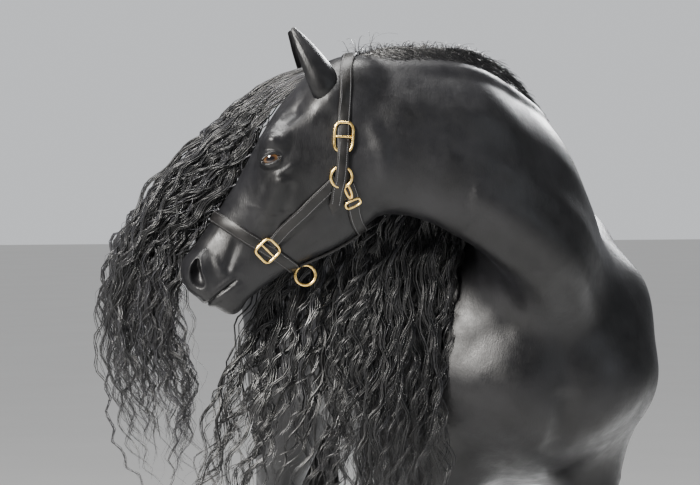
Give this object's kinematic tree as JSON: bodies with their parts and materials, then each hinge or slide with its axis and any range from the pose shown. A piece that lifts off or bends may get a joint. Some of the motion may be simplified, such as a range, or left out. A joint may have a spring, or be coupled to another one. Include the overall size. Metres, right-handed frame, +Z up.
{
  "type": "horse",
  "caption": "Standing black stallion with an arched neck turned to its right, long wavy mane, forelock and tail, feathered legs and a leather halter.",
  "frame": {"origin": "on the floor under the middle of the whole object's box", "axes": "+Z up, the trunk faces -Y, the horse's left side is +X; the head is turned towards -X"},
  "size_m": [1.3644, 1.9984, 1.9432],
  "materials": {
    "coat": "satin",
    "hair": "satin",
    "hoof": "satin",
    "eye": "gloss",
    "leather": "satin",
    "brass": "polished"
  },
  "bodies": {
    "root": {"torso": "coat", "neck": "coat", "head": "coat", "ear_left": "coat", "ear_right": "coat", "eye_left": "eye", "eye_right": "eye", "foreleg_left_upper": "coat", "foreleg_left_lower": "coat", "foreleg_left_hoof": "hoof", "foreleg_right_upper": "coat", "foreleg_right_lower": "coat", "foreleg_right_hoof": "hoof", "hindleg_left_upper": "coat", "hindleg_left_lower": "coat", "hindleg_left_hoof": "hoof", "hindleg_right_upper": "coat", "hindleg_right_lower": "coat", "hindleg_right_hoof": "hoof", "forelock": "hair", "mane_poll": "hair", "mane_middle": "hair", "mane_withers": "hair", "tail": "hair", "halter_crown": "leather", "halter_throat": "leather", "halter_noseband": "leather", "halter_jaw_strap": "leather", "halter_cheek_left": "leather", "halter_cheek_right": "leather", "halter_buckle": "brass", "halter_square_left": "brass", "halter_square_right": "brass", "halter_ring_left": "brass", "halter_ring_right": "brass", "halter_chin_ring": "brass"}
  },
  "joints": []
}
